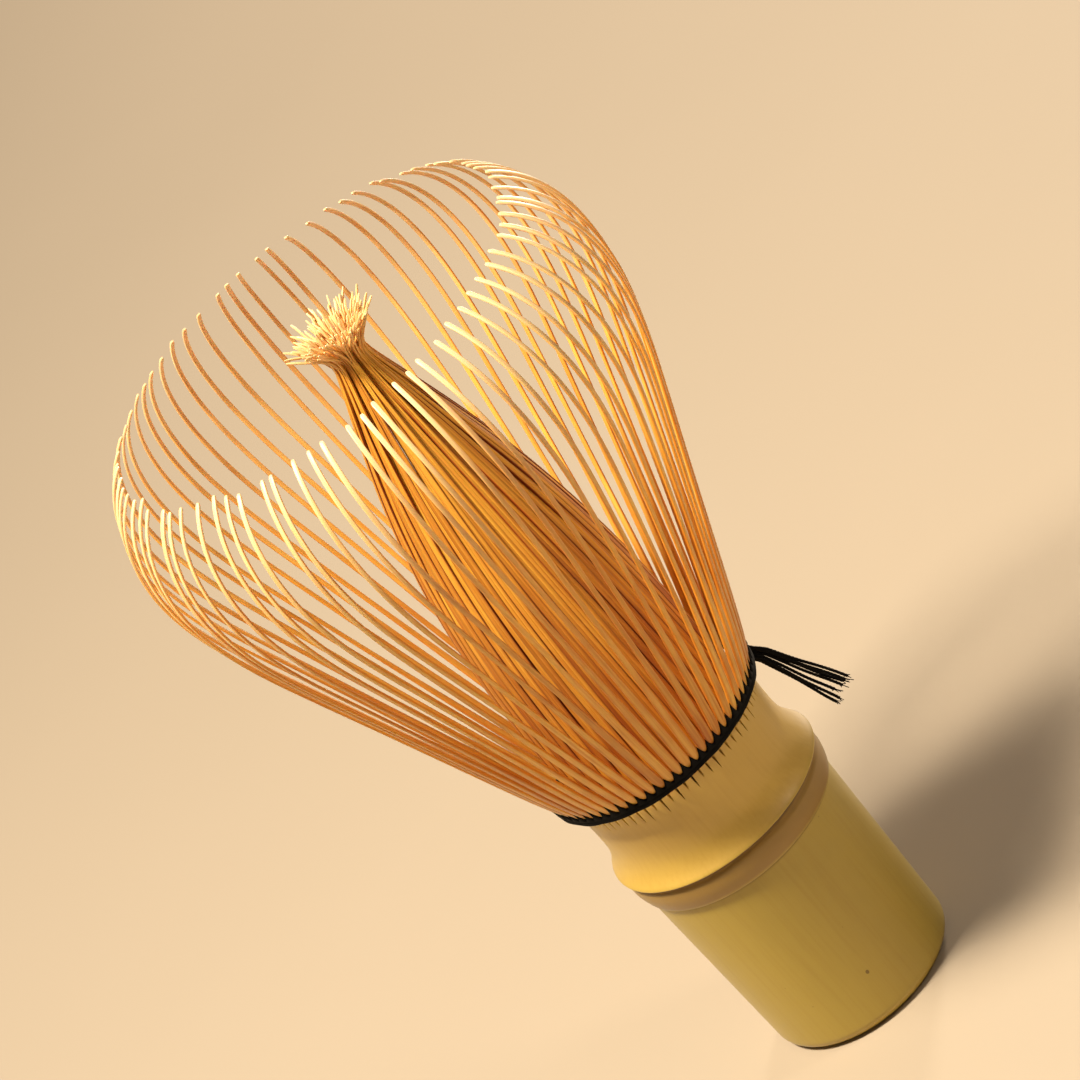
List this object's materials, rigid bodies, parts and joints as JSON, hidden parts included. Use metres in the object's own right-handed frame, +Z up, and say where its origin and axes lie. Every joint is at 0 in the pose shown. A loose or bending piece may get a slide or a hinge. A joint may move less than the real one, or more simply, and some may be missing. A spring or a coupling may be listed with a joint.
{
  "type": "bamboo tea whisk",
  "caption": "Bamboo tea whisk: a short culm handle whose neck splits into a flared ring of curled tines round a narrow inner brush, bound with black thread.",
  "frame": {"origin": "centre of the handle's flat bottom face", "axes": "+Z up along the whisk from handle to tips, +X towards the thread's knot and loose ends"},
  "size_m": [0.0656, 0.0656, 0.1139],
  "materials": {
    "bamboo_skin": "smooth natural bamboo skin with a soft gloss",
    "bamboo_tine": "fine split bamboo, satin, paler at the shaved tips",
    "bamboo_core": "fine split bamboo, matt, cream at the brush ends",
    "black_thread": "matt black cotton"
  },
  "bodies": {
    "handle": {"culm": "bamboo_skin", "inner_split_01": "bamboo_core", "inner_split_02": "bamboo_core", "inner_split_03": "bamboo_core", "inner_split_04": "bamboo_core", "inner_split_05": "bamboo_core", "inner_split_06": "bamboo_core", "inner_split_07": "bamboo_core", "inner_split_08": "bamboo_core", "inner_split_09": "bamboo_core", "inner_split_10": "bamboo_core", "inner_split_11": "bamboo_core", "inner_split_12": "bamboo_core", "inner_split_13": "bamboo_core", "inner_split_14": "bamboo_core", "inner_split_15": "bamboo_core", "inner_split_16": "bamboo_core", "inner_split_17": "bamboo_core", "inner_split_18": "bamboo_core", "thread_winding": "black_thread", "thread_course": "black_thread", "thread_knot": "black_thread", "thread_end_1": "black_thread", "thread_end_2": "black_thread", "thread_end_3": "black_thread", "thread_end_4": "black_thread", "thread_end_5": "black_thread"},
    "split_01": {"outer_split_01": "bamboo_tine"},
    "split_02": {"outer_split_02": "bamboo_tine"},
    "split_03": {"outer_split_03": "bamboo_tine"},
    "split_04": {"outer_split_04": "bamboo_tine"},
    "split_05": {"outer_split_05": "bamboo_tine"},
    "split_06": {"outer_split_06": "bamboo_tine"},
    "split_07": {"outer_split_07": "bamboo_tine"},
    "split_08": {"outer_split_08": "bamboo_tine"},
    "split_09": {"outer_split_09": "bamboo_tine"},
    "split_10": {"outer_split_10": "bamboo_tine"},
    "split_11": {"outer_split_11": "bamboo_tine"},
    "split_12": {"outer_split_12": "bamboo_tine"},
    "split_13": {"outer_split_13": "bamboo_tine"},
    "split_14": {"outer_split_14": "bamboo_tine"},
    "split_15": {"outer_split_15": "bamboo_tine"},
    "split_16": {"outer_split_16": "bamboo_tine"},
    "split_17": {"outer_split_17": "bamboo_tine"},
    "split_18": {"outer_split_18": "bamboo_tine"}
  },
  "joints": [
    {"name": "split_01_flex", "type": "hinge", "parent": "handle", "child": "split_01", "pos_m": [0.01413, 0.00249, 0.0453], "axis": [-0.1736, 0.9848, 0], "range_deg": [-4, 5], "stiffness_Nm_per_rad": 0.006},
    {"name": "split_02_flex", "type": "hinge", "parent": "handle", "child": "split_02", "pos_m": [0.01243, 0.00717, 0.0453], "axis": [-0.5, 0.866, 0], "range_deg": [-4, 5], "stiffness_Nm_per_rad": 0.006},
    {"name": "split_03_flex", "type": "hinge", "parent": "handle", "child": "split_03", "pos_m": [0.00922, 0.01099, 0.0453], "axis": [-0.766, 0.6428, 0], "range_deg": [-4, 5], "stiffness_Nm_per_rad": 0.006},
    {"name": "split_04_flex", "type": "hinge", "parent": "handle", "child": "split_04", "pos_m": [0.00491, 0.01348, 0.0453], "axis": [-0.9397, 0.342, 0], "range_deg": [-4, 5], "stiffness_Nm_per_rad": 0.006},
    {"name": "split_05_flex", "type": "hinge", "parent": "handle", "child": "split_05", "pos_m": [0, 0.01435, 0.0453], "axis": [-1, 0, 0], "range_deg": [-4, 5], "stiffness_Nm_per_rad": 0.006},
    {"name": "split_06_flex", "type": "hinge", "parent": "handle", "child": "split_06", "pos_m": [-0.00491, 0.01348, 0.0453], "axis": [-0.9397, -0.342, 0], "range_deg": [-4, 5], "stiffness_Nm_per_rad": 0.006},
    {"name": "split_07_flex", "type": "hinge", "parent": "handle", "child": "split_07", "pos_m": [-0.00922, 0.01099, 0.0453], "axis": [-0.766, -0.6428, 0], "range_deg": [-4, 5], "stiffness_Nm_per_rad": 0.006},
    {"name": "split_08_flex", "type": "hinge", "parent": "handle", "child": "split_08", "pos_m": [-0.01243, 0.00717, 0.0453], "axis": [-0.5, -0.866, 0], "range_deg": [-4, 5], "stiffness_Nm_per_rad": 0.006},
    {"name": "split_09_flex", "type": "hinge", "parent": "handle", "child": "split_09", "pos_m": [-0.01413, 0.00249, 0.0453], "axis": [-0.1736, -0.9848, 0], "range_deg": [-4, 5], "stiffness_Nm_per_rad": 0.006},
    {"name": "split_10_flex", "type": "hinge", "parent": "handle", "child": "split_10", "pos_m": [-0.01413, -0.00249, 0.0453], "axis": [0.1736, -0.9848, 0], "range_deg": [-4, 5], "stiffness_Nm_per_rad": 0.006},
    {"name": "split_11_flex", "type": "hinge", "parent": "handle", "child": "split_11", "pos_m": [-0.01243, -0.00717, 0.0453], "axis": [0.5, -0.866, 0], "range_deg": [-4, 5], "stiffness_Nm_per_rad": 0.006},
    {"name": "split_12_flex", "type": "hinge", "parent": "handle", "child": "split_12", "pos_m": [-0.00922, -0.01099, 0.0453], "axis": [0.766, -0.6428, 0], "range_deg": [-4, 5], "stiffness_Nm_per_rad": 0.006},
    {"name": "split_13_flex", "type": "hinge", "parent": "handle", "child": "split_13", "pos_m": [-0.00491, -0.01348, 0.0453], "axis": [0.9397, -0.342, 0], "range_deg": [-4, 5], "stiffness_Nm_per_rad": 0.006},
    {"name": "split_14_flex", "type": "hinge", "parent": "handle", "child": "split_14", "pos_m": [0, -0.01435, 0.0453], "axis": [1, 0, 0], "range_deg": [-4, 5], "stiffness_Nm_per_rad": 0.006},
    {"name": "split_15_flex", "type": "hinge", "parent": "handle", "child": "split_15", "pos_m": [0.00491, -0.01348, 0.0453], "axis": [0.9397, 0.342, 0], "range_deg": [-4, 5], "stiffness_Nm_per_rad": 0.006},
    {"name": "split_16_flex", "type": "hinge", "parent": "handle", "child": "split_16", "pos_m": [0.00922, -0.01099, 0.0453], "axis": [0.766, 0.6428, 0], "range_deg": [-4, 5], "stiffness_Nm_per_rad": 0.006},
    {"name": "split_17_flex", "type": "hinge", "parent": "handle", "child": "split_17", "pos_m": [0.01243, -0.00717, 0.0453], "axis": [0.5, 0.866, 0], "range_deg": [-4, 5], "stiffness_Nm_per_rad": 0.006},
    {"name": "split_18_flex", "type": "hinge", "parent": "handle", "child": "split_18", "pos_m": [0.01413, -0.00249, 0.0453], "axis": [0.1736, 0.9848, 0], "range_deg": [-4, 5], "stiffness_Nm_per_rad": 0.006}
  ]
}
